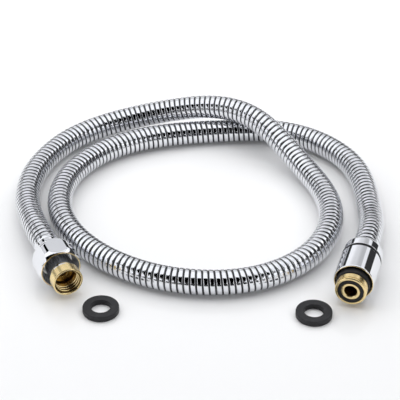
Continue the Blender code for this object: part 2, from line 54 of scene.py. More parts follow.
# The hose and its route, as in the part's source
HOSE_DIAMETER = 0.0140
HOSE_STRAIGHT_END = 0.0060
HOSE_ROUTE = [
    (-0.0931, -0.0121, 0.0088),
    (-0.0970, 0.0077, 0.0072),
    (-0.0961, 0.0314, 0.0071),
    (-0.0890, 0.0531, 0.0071),
    (-0.0773, 0.0711, 0.0074),
    (-0.0590, 0.0845, 0.0089),
    (-0.0359, 0.0916, 0.0120),
    (-0.0111, 0.0924, 0.0167),
    (0.0126, 0.0874, 0.0209),
    (0.0338, 0.0758, 0.0203),
    (0.0489, 0.0602, 0.0144),
    (0.0614, 0.0409, 0.0088),
    (0.0710, 0.0197, 0.0071),
    (0.0752, -0.0054, 0.0075),
    (0.0706, -0.0299, 0.0077),
    (0.0554, -0.0526, 0.0074),
    (0.0305, -0.0675, 0.0071),
    (0.0011, -0.0707, 0.0071),
    (-0.0280, -0.0631, 0.0071),
    (-0.0528, -0.0463, 0.0071),
    (-0.0710, -0.0222, 0.0071),
    (-0.0785, 0.0054, 0.0071),
    (-0.0740, 0.0329, 0.0071),
    (-0.0578, 0.0571, 0.0071),
    (-0.0332, 0.0726, 0.0071),
    (-0.0075, 0.0794, 0.0071),
    (0.0179, 0.0825, 0.0071),
    (0.0408, 0.0827, 0.0071),
    (0.0623, 0.0761, 0.0071),
    (0.0798, 0.0620, 0.0071),
    (0.0915, 0.0429, 0.0071),
    (0.0965, 0.0193, 0.0071),
    (0.0973, -0.0045, 0.0074),
    (0.0970, -0.0147, 0.0084),
]
NUT_END_PLACE = (-0.0821, -0.0423, 0.0113)
NUT_END_HEADING = math.radians(23.0)
CONNECTOR_END_PLACE = (0.0910, -0.0445, 0.0109)
CONNECTOR_END_HEADING = math.radians(-16.0)
WASHER_PLACES = {
    "loose_washer_left": (-0.0504, -0.0864),
    "loose_washer_right": (0.0607, -0.0901),
}


def lay_down(place, heading):
    """The transform that lays an upright fitting on its side at the end of the hose."""
    tipped_over = Matrix.Rotation(math.pi / 2, 4, "X")
    return Matrix.Translation(place) @ Matrix.Rotation(heading, 4, "Z") @ tipped_over


NUT_END = lay_down(NUT_END_PLACE, NUT_END_HEADING)
CONNECTOR_END = lay_down(CONNECTOR_END_PLACE, CONNECTOR_END_HEADING)


# Camera

def place_camera():
    camera = bpy.data.objects.new("camera", bpy.data.cameras.new("camera"))
    bpy.context.scene.collection.objects.link(camera)
    camera.location = CAMERA_PLACE
    camera.rotation_euler = (math.pi / 2 - CAMERA_PITCH, 0.0, 0.0)
    camera.data.lens = CAMERA_LENS
    camera.data.sensor_width = SENSOR_WIDTH
    camera.data.clip_start = 0.01
    camera.data.clip_end = 20.0
    bpy.context.scene.camera = camera


place_camera()


# Materials

class Reading:
    """A value in a finish. Arithmetic on readings adds Math nodes to that finish."""

    def __init__(self, finish, socket):
        self.finish = finish
        self.socket = socket

    def maths(self, operation, *values):
        return self.finish.node("ShaderNodeMath", {"operation": operation}, values)

    def __add__(self, other):
        return self.maths("ADD", self, other)

    def __radd__(self, other):
        return self.maths("ADD", other, self)

    def __sub__(self, other):
        return self.maths("SUBTRACT", self, other)

    def __rsub__(self, other):
        return self.maths("SUBTRACT", other, self)

    def __mul__(self, other):
        return self.maths("MULTIPLY", self, other)

    def __rmul__(self, other):
        return self.maths("MULTIPLY", other, self)

    def __pow__(self, other):
        return self.maths("POWER", self, other)


class Finish:
    """A material and the nodes that vary it over a surface."""

    def __init__(self, name, metallic=0.0, specular=0.5):
        self.material = bpy.data.materials.new(name)
        self.material.use_nodes = True
        self.tree = self.material.node_tree
        self.shader = self.tree.nodes["Principled BSDF"]
        self.shader.inputs["Metallic"].default_value = metallic
        self.shader.inputs["Specular IOR Level"].default_value = specular

    def node(self, kind, settings=None, inputs=(), output=0):
        """Add a node: its settings first, then the values or readings of its sockets."""
        made = self.tree.nodes.new(kind)
        for label, value in (settings or {}).items():
            if label == "stops":
                self.set_stops(made.color_ramp, value)
            else:
                setattr(made, label, value)
        pairs = inputs.items() if isinstance(inputs, dict) else enumerate(inputs)
        for socket, value in pairs:
            if isinstance(value, Reading):
                self.tree.links.new(value.socket, made.inputs[socket])
            else:
                made.inputs[socket].default_value = value
        return Reading(self, made.outputs[output])

    def set_stops(self, ramp, stops):
        while len(ramp.elements) < len(stops):
            ramp.elements.new(1.0)
        for element, (place, shade) in zip(ramp.elements, stops):
            element.position = place
            element.color = (shade, shade, shade, 1.0)

    def between(self, share, first, second):
        """A colour that goes from the first to the second with the share."""
        socket_a, socket_b = 6, 7
        settings = {"data_type": "RGBA"}
        return self.node("ShaderNodeMix", settings, {0: share, socket_a: first, socket_b: second}, output=2)

    def ramp(self, value, stops):
        return self.node("ShaderNodeValToRGB", {"stops": stops}, {0: value})

    def rise(self, value, start, end):
        """From 0 at the start to 1 at the end, with a soft foot and shoulder."""
        settings = {"interpolation_type": "SMOOTHSTEP"}
        inputs = {"Value": value, "From Min": start, "From Max": end}
        return self.node("ShaderNodeMapRange", settings, inputs)

    def band(self, value, start, full_from, full_to, end):
        """1 between the two middle values and 0 beyond the outer ones, with soft edges."""
        return self.rise(value, start, full_from) * self.rise(value, end, full_to)

    def noise(self, place, scale, detail=3.0, roughness=0.5):
        inputs = {"Vector": place, "Scale": scale, "Detail": detail, "Roughness": roughness}
        return self.node("ShaderNodeTexNoise", None, inputs)

    def object_place(self):
        return self.node("ShaderNodeTexCoord", None, (), output="Object")

    def feed(self, **sockets):
        for label, value in sockets.items():
            self.tree.links.new(value.socket, self.shader.inputs[label.replace("_", " ").title()])

    def bump(self, height, strength, distance):
        inputs = {"Height": height, "Strength": strength, "Distance": distance}
        self.feed(normal=self.node("ShaderNodeBump", None, inputs))

    def along_axis(self, fitting):
        """How far a point is along a fitting's axis and from it, in millimetres, and its angle."""
        inputs = {
            "Vector": self.object_place(),
            "Location": fitting.to_translation(),
            "Rotation": fitting.to_euler(),
        }
        local = self.node("ShaderNodeMapping", {"vector_type": "TEXTURE"}, inputs)
        x, y, z = (self.node("ShaderNodeSeparateXYZ", None, (local,), output=i) for i in range(3))
        radius = (x * x + y * y) ** 0.5
        return z * (1 / MM), radius * (1 / MM), y.maths("ARCTAN2", y, x)


def colour(red, green, blue):
    return (red, green, blue, 1.0)


def polished_chrome():
    """Plated metal: nearly even, with faint polishing waves and hair scratches."""
    finish = Finish("polished_chrome", metallic=1.0)
    place = finish.object_place()
    cloud = finish.noise(place, 90.0)
    stretched = finish.node("ShaderNodeMapping", None, {"Vector": place, "Scale": (1.0, 1.0, 14.0)})
    scratches = finish.noise(stretched, 700.0, 6.0, 0.7)
    hair = finish.ramp(scratches, [(0.60, 0.0), (0.74, 1.0)])
    finish.feed(
        base_color=finish.between(cloud, colour(0.83, 0.84, 0.87), colour(0.88, 0.89, 0.92)),
        roughness=0.030 + cloud * 0.03 + hair * 0.05,
    )
    finish.bump(cloud + hair * 0.02, 0.08, 0.0004)
    return finish.material


def inside_chrome(fitting):
    """The unpolished inside of a plated shell, with drawn streaks running into it."""
    finish = Finish("inside_chrome", metallic=1.0)
    z, radius, turn = finish.along_axis(fitting)
    drawn_in = finish.node("ShaderNodeCombineXYZ", None, (turn * 7.0, radius * 0.25, z * 0.25))
    streaks = finish.noise(drawn_in, 1.0, 4.0, 0.65)
    pale = finish.rise(streaks, 0.40, 0.62)
    finish.feed(
        base_color=finish.between(pale, colour(0.52, 0.52, 0.53), colour(0.94, 0.95, 0.97)),
        roughness=0.42 + streaks * 0.20,
    )
    finish.bump(streaks, 0.20, 0.0002)
    return finish.material


def strip_chrome():
    """The casing's strip: bright on its crown, dull down in the seams, with shade painted nearly black
    there.
    """
    finish = Finish("strip_chrome", metallic=1.0)
    depth = finish.node("ShaderNodeAttribute", {"attribute_name": "seam_depth"}, (), output="Fac")
    along = finish.node("ShaderNodeUVMap", {"uv_map": "strip"}, ())
    roll_lines = finish.noise(
        finish.node("ShaderNodeMapping", None, {"Vector": along, "Scale": (6.0, 30.0, 1.0)}), 1.0, 4.0, 0.6
    )
    cloud = finish.noise(finish.object_place(), 160.0, 4.0)
    bright = finish.between(cloud, colour(0.77, 0.78, 0.81), colour(0.86, 0.87, 0.90))
    finish.feed(
        # Painted shade: the colour falls to nearly black down in the seams
        base_color=finish.between(depth, bright, colour(0.02, 0.02, 0.022)),
        roughness=0.04 + cloud * 0.04 + depth * 0.25,
    )
    dents = finish.noise(
        finish.node("ShaderNodeMapping", None, {"Vector": along, "Scale": (3.5, 2.2, 1.0)}), 1.0, 2.0, 0.5
    )
    finish.bump(roll_lines + cloud * 0.5 + dents * 5.0, 0.14, 0.0002)
    return finish.material


# Where shade is painted on the brass, in millimetres from a fitting's axis and along it
BORE_EDGE = 1.0
GROOVE_RADII = (6.30, 6.65, 7.10, 7.25)
GROOVE_MOUTH = (36.9, 36.4)


def turned_brass(name, fitting, bore, dark_from, dark_to, bore_shade_colour):
    """Bare brass with fine turning lines, and shade painted darker deep in a bore and between a thread's
    ridges.
    """
    finish = Finish(name, metallic=1.0)
    z, radius, _ = finish.along_axis(fitting)
    lines_at = finish.node("ShaderNodeCombineXYZ", None, (radius * 5.0, z * 5.0, 0.0))
    lines = finish.noise(lines_at, 1.0, 3.0, 0.6)
    cloud = finish.noise(finish.object_place(), 260.0, 3.0)
    bright = finish.between(lines, colour(0.85, 0.64, 0.28), colour(0.97, 0.80, 0.46))
    warm = finish.between(cloud * 0.35, bright, colour(0.88, 0.70, 0.38))
    # Painted shade: darker deep in the bore and between the thread's ridges
    painted_bore_shade = finish.rise(z, dark_from, dark_to) * finish.rise(radius, bore + BORE_EDGE, bore)
    painted_thread_shade = finish.band(radius, *GROOVE_RADII) * finish.rise(z, *GROOVE_MOUTH)
    darkened = finish.between(painted_bore_shade, warm, bore_shade_colour)
    finish.feed(
        base_color=finish.between(painted_thread_shade, darkened, colour(0.16, 0.10, 0.03)),
        roughness=0.17 + lines * 0.10 + cloud * 0.05,
    )
    finish.bump(lines, 0.15, 0.0001)
    return finish.material


def black_rubber(name, shade, roughness, specular):
    """Moulded rubber: a dense fine grain and the odd paler scuff."""
    finish = Finish(name, specular=specular)
    place = finish.object_place()
    grain = finish.noise(place, 2600.0, 5.0, 0.65)
    scuff = finish.ramp(finish.noise(place, 420.0, 5.0, 0.6), [(0.52, 0.0), (0.75, 1.0)])
    finish.feed(
        base_color=finish.between(
            scuff, colour(shade, shade, shade * 1.12), colour(shade * 1.9, shade * 1.9, shade * 2.1)
        ),
        roughness=roughness + grain * 0.12 + scuff * 0.06,
    )
    finish.bump(grain, 0.25, 0.0001)
    return finish.material


def white_plastic():
    """Natural moulded plastic, very slightly clouded."""
    finish = Finish("natural_plastic")
    cloud = finish.noise(finish.object_place(), 500.0)
    finish.feed(
        base_color=finish.between(cloud, colour(0.78, 0.78, 0.74), colour(0.86, 0.86, 0.83)),
        roughness=0.40 + cloud * 0.12,
    )
    finish.bump(cloud, 0.10, 0.0001)
    return finish.material


CHROME = polished_chrome()
STRIP = strip_chrome()
INSIDE_CHROME = inside_chrome(NUT_END)
# Each brass: its bore's radius, where the painted shade in the bore starts and is full, and the colour of
# that shade
NUT_BRASS = turned_brass("nut_brass", NUT_END, 7.4, 32.0, 26.5, colour(0.50, 0.33, 0.10))
CONNECTOR_BRASS = turned_brass("connector_brass", CONNECTOR_END, 4.0, 39.5, 33.0, colour(0.24, 0.15, 0.05))
RUBBER = black_rubber("black_rubber", 0.018, 0.55, 0.40)
SEAL_RUBBER = black_rubber("seal_rubber", 0.014, 0.40, 0.28)
BLACK_PLASTIC = black_rubber("black_plastic", 0.008, 0.35, 0.15)
WHITE_PLASTIC = white_plastic()


# The hose casing

STRIP_PITCH = 3.20 * MM
CASING_STEPS = 32
OVERRUN = 2
# Across one turn of the strip: share of the pitch, radius in millimetres, depth in the seam, which sets how
# much shade is painted there and how dull it is
STRIP_SECTION = [
    (0.00, 6.25, 1.0),
    (0.05, 6.52, 0.9),
    (0.09, 6.62, 0.6),
    (0.13, 6.50, 0.9),
    (0.17, 6.20, 1.0),
    (0.20, 6.68, 0.9),
    (0.235, 6.89, 0.3),
    (0.31, 6.97, 0.0),
    (0.43, 7.00, 0.0),
    (0.80, 7.00, 0.0),
    (0.93, 6.93, 0.0),
]


def smooth_curve(points, start_direction, end_direction):
    """A curve without kinks through the points, as closely spaced places along it."""
    steps = 24
    points = np.array(points)
    spans = np.linalg.norm(np.diff(points, axis=0), axis=1)
    count = len(points)
    matrix = np.eye(count)
    slopes = np.zeros((count, 3))
    slopes[0] = start_direction
    slopes[-1] = end_direction
    for i in range(1, count - 1):
        before, after = spans[i - 1], spans[i]
        matrix[i, i - 1:i + 2] = (1 / before, 2 / before + 2 / after, 1 / after)
        slopes[i] = 3 * (points[i] - points[i - 1]) / before ** 2
        slopes[i] += 3 * (points[i + 1] - points[i]) / after ** 2
    slopes = np.linalg.solve(matrix, slopes)
    t = np.linspace(0.0, 1.0, steps, endpoint=False)[:, None]
    places = []
    for i in range(count - 1):
        places.append(
            (2 * t ** 3 - 3 * t ** 2 + 1) * points[i]
            + (t ** 3 - 2 * t ** 2 + t) * spans[i] * slopes[i]
            + (3 * t ** 2 - 2 * t ** 3) * points[i + 1]
            + (t ** 3 - t ** 2) * spans[i] * slopes[i + 1]
        )
    return np.vstack([*places, points[-1:]])


def hose_centreline():
    """The centreline from fitting to fitting, straight for a short way at each end."""
    start, start_lead = (np.array(NUT_END @ Vector((0, 0, z))) for z in (0.0, -HOSE_STRAIGHT_END))
    end_lead, end = (np.array(CONNECTOR_END @ Vector((0, 0, z))) for z in (-HOSE_STRAIGHT_END, 0.0))
    start_direction = (start_lead - start) / HOSE_STRAIGHT_END
    end_direction = (end - end_lead) / HOSE_STRAIGHT_END
    bend = smooth_curve([start_lead, *HOSE_ROUTE, end_lead], start_direction, end_direction)
    return np.vstack([start, bend, end])


def even_places(line, count):
    """The line's places and directions at equal distances, and its length."""
    travelled = np.concatenate([[0.0], np.cumsum(np.linalg.norm(np.diff(line, axis=0), axis=1))])
    wanted = np.linspace(0.0, travelled[-1], count)
    places = np.stack([np.interp(wanted, travelled, line[:, i]) for i in range(3)], axis=1)
    directions = np.gradient(places, axis=0)
    directions /= np.linalg.norm(directions, axis=1)[:, None]
    return places, directions, travelled[-1]


def carried_sides(directions):
    """A side direction at each place, carried along the line without twisting."""
    side = np.cross(directions[0], (0.0, 0.0, 1.0))
    sides = []
    for direction in directions:
        side = side - direction * (side @ direction)
        side = side / np.linalg.norm(side)
        sides.append(side)
    return np.array(sides)


def wind_casing(line):
    """Wind the strip round the centreline as one helix, a little past both its ends."""
    length = np.linalg.norm(np.diff(line, axis=0), axis=1).sum()
    turns = int(round(length / STRIP_PITCH))
    pitch = length / turns
    lead = (OVERRUN + 1) * pitch
    before = line[0] + (line[0] - line[1]) / np.linalg.norm(line[0] - line[1]) * lead
    after = line[-1] + (line[-1] - line[-2]) / np.linalg.norm(line[-1] - line[-2]) * lead
    fine = 6000
    places, directions, whole = even_places(np.vstack([before, line, after]), fine)
    sides = carried_sides(directions)
    ups = np.cross(directions, sides)
    across = len(STRIP_SECTION)
    shares, radii, depths = np.array(STRIP_SECTION).T

    step = np.arange(-OVERRUN * CASING_STEPS, (turns + OVERRUN) * CASING_STEPS + 1)[:, None]
    angle = math.tau * (step % CASING_STEPS) / CASING_STEPS
    distance = lead + (step / CASING_STEPS + shares[None, :]) * pitch
    index = distance / whole * (fine - 1)
    low = np.minimum(index.astype(int), fine - 2)
    share = (index - low)[..., None]

    def at(values):
        return values[low] * (1 - share) + values[low + 1] * share

    out = at(sides) * np.cos(angle)[..., None] + at(ups) * np.sin(angle)[..., None]
    points = at(places) + out * radii[None, :, None] * MM
    rows = len(step)

    def corner(i, j):
        """The j-th point across the strip at step i; past the edge is the next turn's."""
        return i * across + j if j < across else (i + CASING_STEPS) * across

    faces = [
        (corner(i, j), corner(i, j + 1), corner(i + 1, j + 1), corner(i + 1, j))
        for i in range(rows - 1)
        for j in range(across)
        if j < across - 1 or i + 1 + CASING_STEPS < rows
    ]
    mesh = bpy.data.meshes.new("hose_casing")
    mesh.from_pydata(points.reshape(-1, 3).tolist(), [], faces)
    mesh.update()

    # How deep each point lies in the seam, which the strip's finish turns into painted shade
    depth = mesh.attributes.new("seam_depth", "FLOAT", "POINT")
    depth.data.foreach_set("value", np.tile(depths, rows).astype(np.float32))
    uv = mesh.uv_layers.new(name="strip")
    where = np.stack([np.repeat(step[:, 0] / CASING_STEPS, across), np.tile(shares, rows)], axis=1)
    owners = np.zeros(len(mesh.loops), np.int32)
    mesh.loops.foreach_get("vertex_index", owners)
    uv.data.foreach_set("uv", where[owners].astype(np.float32).ravel())

    casing = bpy.data.objects.new("hose_casing", mesh)
    bpy.context.scene.collection.objects.link(casing)
    return casing, length


def select_only(piece):
    bpy.ops.object.select_all(action="DESELECT")
    piece.select_set(True)
    bpy.context.view_layer.objects.active = piece


def in_edit_mode(piece, *works):
    """Run edit-mode operators on the whole of a piece."""
    select_only(piece)
    bpy.ops.object.mode_set(mode="EDIT")
    bpy.ops.mesh.select_mode(type="VERT")
    bpy.ops.mesh.select_all(action="SELECT")
    for work in works:
        work()
    bpy.ops.object.mode_set(mode="OBJECT")


def merge_doubles():
    bpy.ops.mesh.remove_doubles(threshold=0.002 * MM)


def face_outwards():
    bpy.ops.mesh.normals_make_consistent(inside=False)


def smooth(piece, angle):
    """Shade smooth up to an angle, with the broad faces kept flat beside their rounded edges."""
    select_only(piece)
    bpy.ops.object.shade_smooth_by_angle(angle=math.radians(angle))
    level = piece.modifiers.new("level", "WEIGHTED_NORMAL")
    level.keep_sharp = True
    level.weight = 90
    bpy.ops.object.modifier_apply(modifier=level.name)


def cut_square(piece, place, outward):
    """Cut the hose off square at its end, and close the cut."""
    place, outward = Vector(place), Vector(outward).normalized()
    reach = (OVERRUN + 1) * STRIP_PITCH
    just_past_radius = 0.52 * HOSE_DIAMETER
    select_only(piece)
    bpy.ops.object.mode_set(mode="EDIT")
    bpy.ops.mesh.select_mode(type="FACE")
    bpy.ops.mesh.select_all(action="DESELECT")
    bpy.ops.object.mode_set(mode="OBJECT")
    for face in piece.data.polygons:
        offset = face.center - place
        along = offset.dot(outward)
        face.select = abs(along) < reach and (offset - along * outward).length < just_past_radius
    bpy.ops.object.mode_set(mode="EDIT")
    bpy.ops.mesh.bisect(plane_co=place, plane_no=outward, use_fill=True, clear_outer=True)
    bpy.ops.object.mode_set(mode="OBJECT")


hose_line = hose_centreline()
casing, hose_length = wind_casing(hose_line)
cut_square(casing, hose_line[0], hose_line[0] - hose_line[1])
cut_square(casing, hose_line[-1], hose_line[-1] - hose_line[-2])
in_edit_mode(casing, face_outwards)
smooth(casing, 70.0)
casing.data.materials.append(STRIP)


# Turned pieces

TURN_STEPS = 96


def draw_section(name, outline):
    """Draw a section in the XZ plane, one extruded point after another."""
    bpy.ops.object.select_all(action="DESELECT")
    bpy.ops.mesh.primitive_plane_add(size=2 * MM, location=(0, 0, 0))
    piece = bpy.context.object
    piece.name = name
    piece.data.name = name
    bpy.ops.object.mode_set(mode="EDIT")
    bpy.ops.mesh.select_mode(type="VERT")
    bpy.ops.mesh.select_all(action="SELECT")
    bpy.ops.mesh.merge(type="CENTER")
    before = (0.0, 0.0)
    for number, (radius, z) in enumerate(outline):
        shift = ((radius - before[0]) * MM, 0.0, (z - before[1]) * MM)
        if number == 0:
            bpy.ops.transform.translate(value=shift)
        else:
            bpy.ops.mesh.extrude_region_move(TRANSFORM_OT_translate={"value": shift})
        before = (radius, z)
    bpy.ops.object.mode_set(mode="OBJECT")
    return piece


def spin_round():
    bpy.ops.mesh.select_all(action="SELECT")
    bpy.ops.mesh.spin(steps=TURN_STEPS, angle=math.tau, center=(0, 0, 0), axis=(0, 0, 1))
    bpy.ops.mesh.select_all(action="SELECT")


def round_edges(piece, width, segments=3, angle=30.0):
    select_only(piece)
    bevel = piece.modifiers.new("round", "BEVEL")
    bevel.width = width * MM
    bevel.segments = segments
    bevel.limit_method = "ANGLE"
    bevel.angle_limit = math.radians(angle)
    bpy.ops.object.modifier_apply(modifier=bevel.name)


def turn_on_lathe(name, outline, edge=0.0):
    """A solid of revolution from a closed section, with its edges rounded where a width is given."""
    piece = draw_section(name, [*outline, outline[0]])
    in_edit_mode(piece, spin_round, merge_doubles, face_outwards)
    if edge:
        round_edges(piece, edge)
    return piece


def lay(piece, place, finish, body, slot, *nodes):
    """Put a finished piece in its place, hang it on its body and hide the CAD parts that it takes the place
    of.
    """
    smooth(piece, 32.0)
    piece.data.transform(place)
    if finish:
        piece.data.materials.append(finish)
    ride(piece, body, slot, *nodes)
    return piece


def ride(piece, body, slot, *nodes):
    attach(piece, body)
    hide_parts(*nodes)


# Nut end

def model_ferrule():
    section = [
        (5.3, 0.3), (6.75, 0.3), (7.0, 0.55), (7.0, 2.2), (6.86, 2.5), (6.86, 3.0), (7.0, 3.3),
        (7.0, 13.5), (6.7, 13.8), (4.5, 13.8), (4.5, 12.6), (5.3, 12.6),
    ]
    return turn_on_lathe("nut_end_ferrule_tube", section, edge=0.08)


def model_tail():
    section = [
        (5.4, 28.0), (5.8, 27.6), (5.8, 21.8), (4.2, 21.8), (4.2, 12.9), (2.9, 12.9), (2.9, 1.5),
        (2.2, 1.5), (2.2, 27.6), (2.6, 28.0),
    ]
    return turn_on_lathe("nut_end_tail_brass", section, edge=0.08)


SHELL_START, SHELL_END = 7.0, 25.0
SHELL_FLAT = 11.3
SHELL_WIDEST = 12.3
SHELL_RIM = 10.9
SHELL_BACK = 8.2


def cut(piece, tool, operation):
    select_only(piece)
    boolean = piece.modifiers.new("cut", "BOOLEAN")
    boolean.operation = operation
    boolean.object = tool
    boolean.solver = "EXACT"
    bpy.ops.object.modifier_apply(modifier=boolean.name)
    bpy.data.objects.remove(tool)


def swell(share, roundness=1.0):
    """How far a rounded shape has swelled, from 0 at its end to 1 at its widest."""
    return math.sin(math.pi / 2 * share) ** roundness


def model_hex_shell():
    """A hexagonal bar turned to a dome at the back and a rim at the front, then hollowed."""
    bpy.ops.object.select_all(action="DESELECT")
    bpy.ops.mesh.primitive_cylinder_add(
        vertices=6,
        radius=SHELL_FLAT / math.cos(math.pi / 6) * MM,
        depth=(SHELL_END - SHELL_START) * MM,
        location=(0, 0, 0),
    )
    shell = bpy.context.object
    shell.name = "hex_shell_chrome"
    shell.data.transform(Matrix.Translation((0, 0, (SHELL_START + SHELL_END) / 2 * MM)))
    shell.data.transform(Matrix.Rotation(math.pi / 6, 4, "Z"))

    dome, curve_steps = 7.92, 14
    outline = [
        (0.0, SHELL_END), (SHELL_RIM, SHELL_END), (11.25, 24.55), (11.58, 24.03), (11.88, 23.43),
        (12.10, 22.75), (12.24, 22.0), (SHELL_WIDEST, 21.2),
    ]
    for i in range(curve_steps + 1):
        share = 1 - i / curve_steps
        radius = SHELL_BACK + (SHELL_WIDEST - SHELL_BACK) * swell(share)
        outline.append((radius, SHELL_START + dome * share))
    outline.append((0.0, SHELL_START))
    cut(shell, turn_on_lathe("turning", outline), "INTERSECT")

    beyond = 3.0
    mouth_radius, mouth_flare = 10.35, 0.25
    hollow = turn_on_lathe("hollow", [
        (0.0, SHELL_END + beyond), (mouth_radius + beyond * mouth_flare, SHELL_END + beyond),
        (8.5, 17.8), (7.7, 17.8), (7.7, 15.2), (8.3, 15.2), (8.3, 8.6), (7.3, 8.6),
        (7.3, SHELL_START - beyond), (0.0, SHELL_START - beyond),
    ])
    cut(shell, hollow, "DIFFERENCE")
    in_edit_mode(shell, merge_doubles, face_outwards)
    round_edges(shell, 0.08, segments=2, angle=16.0)

    for finish in (CHROME, NUT_BRASS, INSIDE_CHROME):
        shell.data.materials.append(finish)
    bare_rim, inside = 1, 2
    rim_depth, facing_front = 0.15, 0.9
    for face in shell.data.polygons:
        outwards = face.normal.x * face.center.x + face.normal.y * face.center.y
        if face.center.z > (SHELL_END - rim_depth) * MM and face.normal.z > facing_front:
            face.material_index = bare_rim
        elif outwards < 0 and face.center.z < SHELL_END * MM:
            face.material_index = inside
    return shell


def model_neck():
    section = [
        (7.0, 30.5), (7.4, 30.1), (7.4, 14.2), (6.9, 14.2), (6.9, 19.5), (4.5, 19.5), (4.5, 21.5),
        (6.9, 21.5), (6.9, 30.5),
    ]
    return turn_on_lathe("nut_neck_chrome", section, edge=0.1)


THREAD_PITCH = 1.8
THREAD_START = 28.5
THREAD_END = 36.3


def model_thread_ring():
    """The brass ring with its spigot, and the thread that winds down inside both."""
    section = [
        (7.9, 37.0), (8.2, 36.7), (8.2, 31.1), (7.9, 30.8), (6.6, 30.8), (6.6, 27.2), (6.3, 27.2),
        (6.3, 31.2), (7.0, 31.9), (7.0, 36.5), (7.35, 37.0),
    ]
    ring = turn_on_lathe("thread_ring_brass", section, edge=0.08)
    thread = cut_thread()
    bpy.ops.object.select_all(action="DESELECT")
    thread.select_set(True)
    ring.select_set(True)
    bpy.context.view_layer.objects.active = ring
    bpy.ops.object.join()
    return ring


def cut_thread():
    """One ridge, wound up the bore by Screw, and drawn in a little towards the bottom."""
    crest, root = 6.25, 7.2
    half_crest, half_root = 0.14, 0.66
    draw_in = 0.035
    ring_wall, spigot_wall, spigot_top = 7.1, 6.45, 31.6
    tooth = draw_section("thread", [
        (root, THREAD_START - half_root), (crest, THREAD_START - half_crest),
        (crest, THREAD_START + half_crest), (root, THREAD_START + half_root),
        (root, THREAD_START - half_root),
    ])
    in_edit_mode(tooth, merge_doubles, bpy.ops.mesh.edge_face_add)
    turns = (THREAD_END - THREAD_START) / THREAD_PITCH
    select_only(tooth)
    screw = tooth.modifiers.new("wind", "SCREW")
    screw.angle = math.tau * turns
    screw.screw_offset = THREAD_PITCH * turns * MM
    screw.iterations = 1
    screw.steps = int(TURN_STEPS * turns)
    screw.render_steps = screw.steps
    bpy.ops.object.modifier_apply(modifier=screw.name)
    in_edit_mode(tooth, merge_doubles, face_outwards)
    for vertex in tooth.data.vertices:
        radius = math.hypot(vertex.co.x, vertex.co.y) / MM
        z = vertex.co.z / MM
        drawn = radius - draw_in * (THREAD_END - z)
        wall = ring_wall if z > spigot_top else spigot_wall
        scale = min(drawn, wall) / radius
        vertex.co.x *= scale
        vertex.co.y *= scale
    return tooth


def make_nut_end():
    lay(model_ferrule(), NUT_END, CHROME, "hose", "chrome", "nut_end_ferrule")
    lay(model_tail(), NUT_END, NUT_BRASS, "hose", "brass", "nut_end_tail")
    lay(model_hex_shell(), NUT_END, None, "swivel_nut", "chrome", "hex_shell")
    lay(model_neck(), NUT_END, CHROME, "swivel_nut", "chrome", "nut_neck")
    lay(model_thread_ring(), NUT_END, NUT_BRASS, "swivel_nut", "brass", "thread_ring")


# Connector end

def model_collar():
    back, front, shoulder = 7.3, 10.7, 6.2
    steps = 16
    section = [(10.5, 11.3), (10.7, 11.1)]
    for i in range(steps + 1):
        share = 1 - i / steps
        section.append((back + (front - back) * swell(share, 1.5), 0.3 + shoulder * share))
    section += [(5.3, 0.3), (5.3, 10.1), (4.5, 10.1), (4.5, 11.3)]
    return turn_on_lathe("connector_end_collar_chrome", section, edge=0.1)


def model_swivel_ring():
    section = [(4.5, 11.4), (10.7, 11.4), (10.88, 11.6), (10.88, 12.95), (10.75, 13.1), (4.5, 13.1)]
    return turn_on_lathe("swivel_ring_black", section, edge=0.1)


def model_sleeve():
    section = [
        (10.3, 32.8), (10.6, 32.7), (10.8, 32.45), (10.9, 32.05), (10.9, 13.5), (10.6, 13.2), (4.5, 13.2),
        (4.5, 15.7), (8.7, 15.7), (8.7, 28.0), (9.9, 28.0), (9.9, 32.5), (10.0, 32.75),
    ]
    return turn_on_lathe("sleeve_chrome", section, edge=0.1)


def model_recess_seal():
    section = [
        (8.6, 35.9), (9.0, 35.4), (9.0, 29.9), (9.6, 29.9), (9.6, 28.3), (7.9, 28.3), (7.9, 35.9),
    ]
    return turn_on_lathe("recess_seal_rubber", section, edge=0.25)


def model_connector():
    section = [
        (7.15, 41.0), (8.0, 41.0), (8.4, 40.6), (8.4, 39.7), (8.1, 39.7), (8.1, 39.2), (8.4, 39.2),
        (8.4, 36.2), (7.6, 36.2), (7.6, 28.0), (8.4, 28.0), (8.4, 19.8), (4.8, 19.8), (4.8, 27.6),
        (3.35, 27.6), (3.35, 40.6), (3.75, 41.0), (4.9, 41.0), (4.9, 39.0), (7.15, 39.0),
    ]
    return turn_on_lathe("quick_connector_brass", section, edge=0.08)


def model_face_seal():
    section = [(5.2, 39.3), (6.85, 39.3), (6.85, 40.9), (5.2, 40.9)]
    return turn_on_lathe("face_seal_rubber", section, edge=0.35)


def make_connector_end():
    collar = lay(model_collar(), CONNECTOR_END, CHROME, "hose", "chrome", "connector_end_collar")
    lay(model_swivel_ring(), CONNECTOR_END, BLACK_PLASTIC, "hose", "black_plastic", "swivel_ring")
    sleeve = model_sleeve()
    recess_floor, plated_radius = 28.1, 10.42
    bare_faces = [
        face.index for face in sleeve.data.polygons
        if face.center.z > recess_floor * MM
        and math.hypot(face.center.x, face.center.y) < plated_radius * MM
    ]
    lay(sleeve, CONNECTOR_END, CHROME, "swivel_sleeve", "chrome", "sleeve")
    sleeve.data.materials.append(CONNECTOR_BRASS)
    for index in bare_faces:
        sleeve.data.polygons[index].material_index = 1
    lay(model_recess_seal(), CONNECTOR_END, SEAL_RUBBER, "swivel_sleeve", "rubber", "recess_seal")
    lay(model_connector(), CONNECTOR_END, CONNECTOR_BRASS, "swivel_sleeve", "brass", "quick_connector")
    lay(model_face_seal(), CONNECTOR_END, SEAL_RUBBER, "swivel_sleeve", "rubber", "face_seal")
    return collar


# Loose washers

